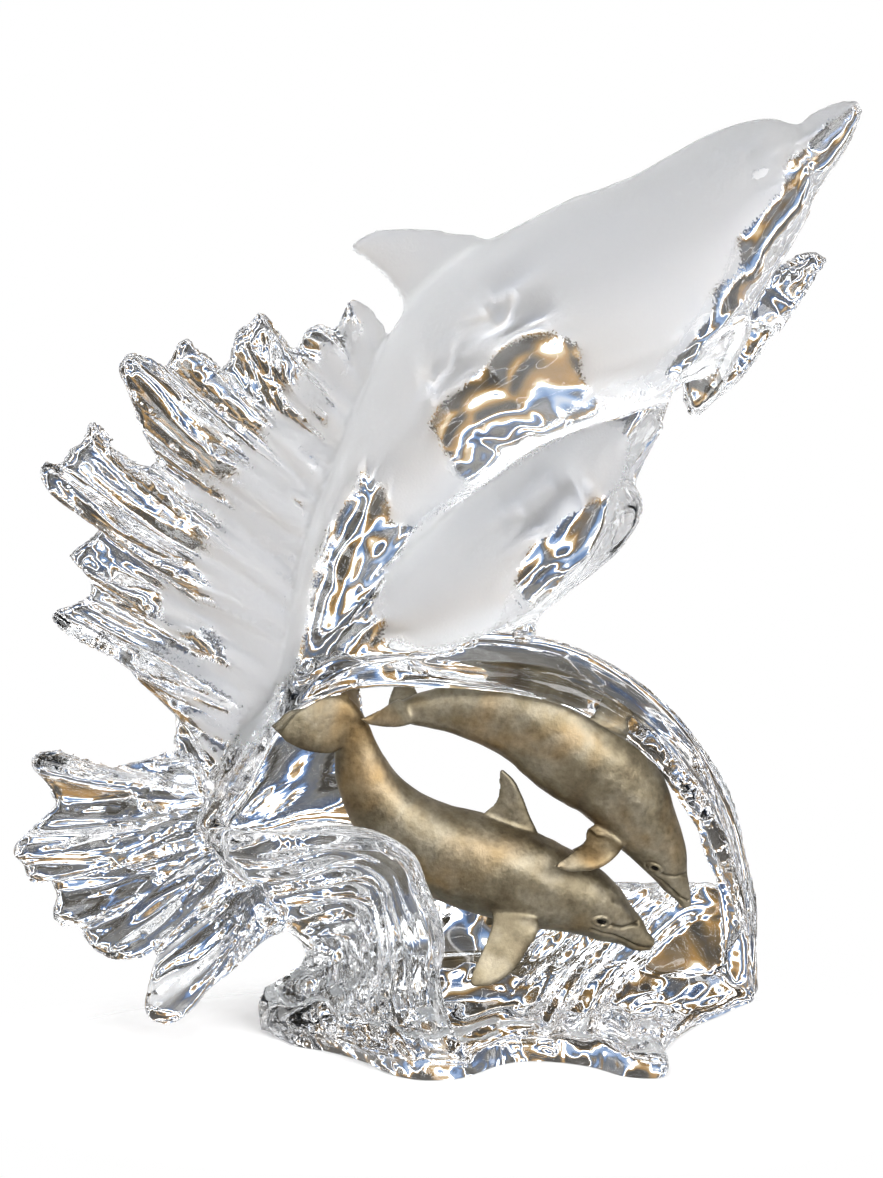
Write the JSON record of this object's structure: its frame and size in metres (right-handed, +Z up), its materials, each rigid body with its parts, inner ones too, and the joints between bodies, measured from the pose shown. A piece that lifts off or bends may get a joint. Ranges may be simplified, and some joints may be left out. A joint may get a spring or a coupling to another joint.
{
  "type": "acrylic dolphin sculpture",
  "caption": "Table sculpture of a clear cast acrylic dolphin leaping from a breaking wave, whose arch shelters small cast metal dolphins; stands on its own flat foot.",
  "frame": {"origin": "on the ground, in the flat underside of the foot, under the middle of the leaping dolphin's body", "axes": "+Z up, +X the way the leaping dolphin heads, -Y the side that the picture is taken from"},
  "size_m": [0.377, 0.1345, 0.4334],
  "materials": {
    "clear_acrylic": "gloss",
    "patinated_bronze": "satin"
  },
  "bodies": {
    "root": {"acrylic_wave_and_dolphin": "clear_acrylic", "lower_metal_dolphin": "patinated_bronze", "upper_metal_dolphin": "patinated_bronze"}
  },
  "joints": []
}
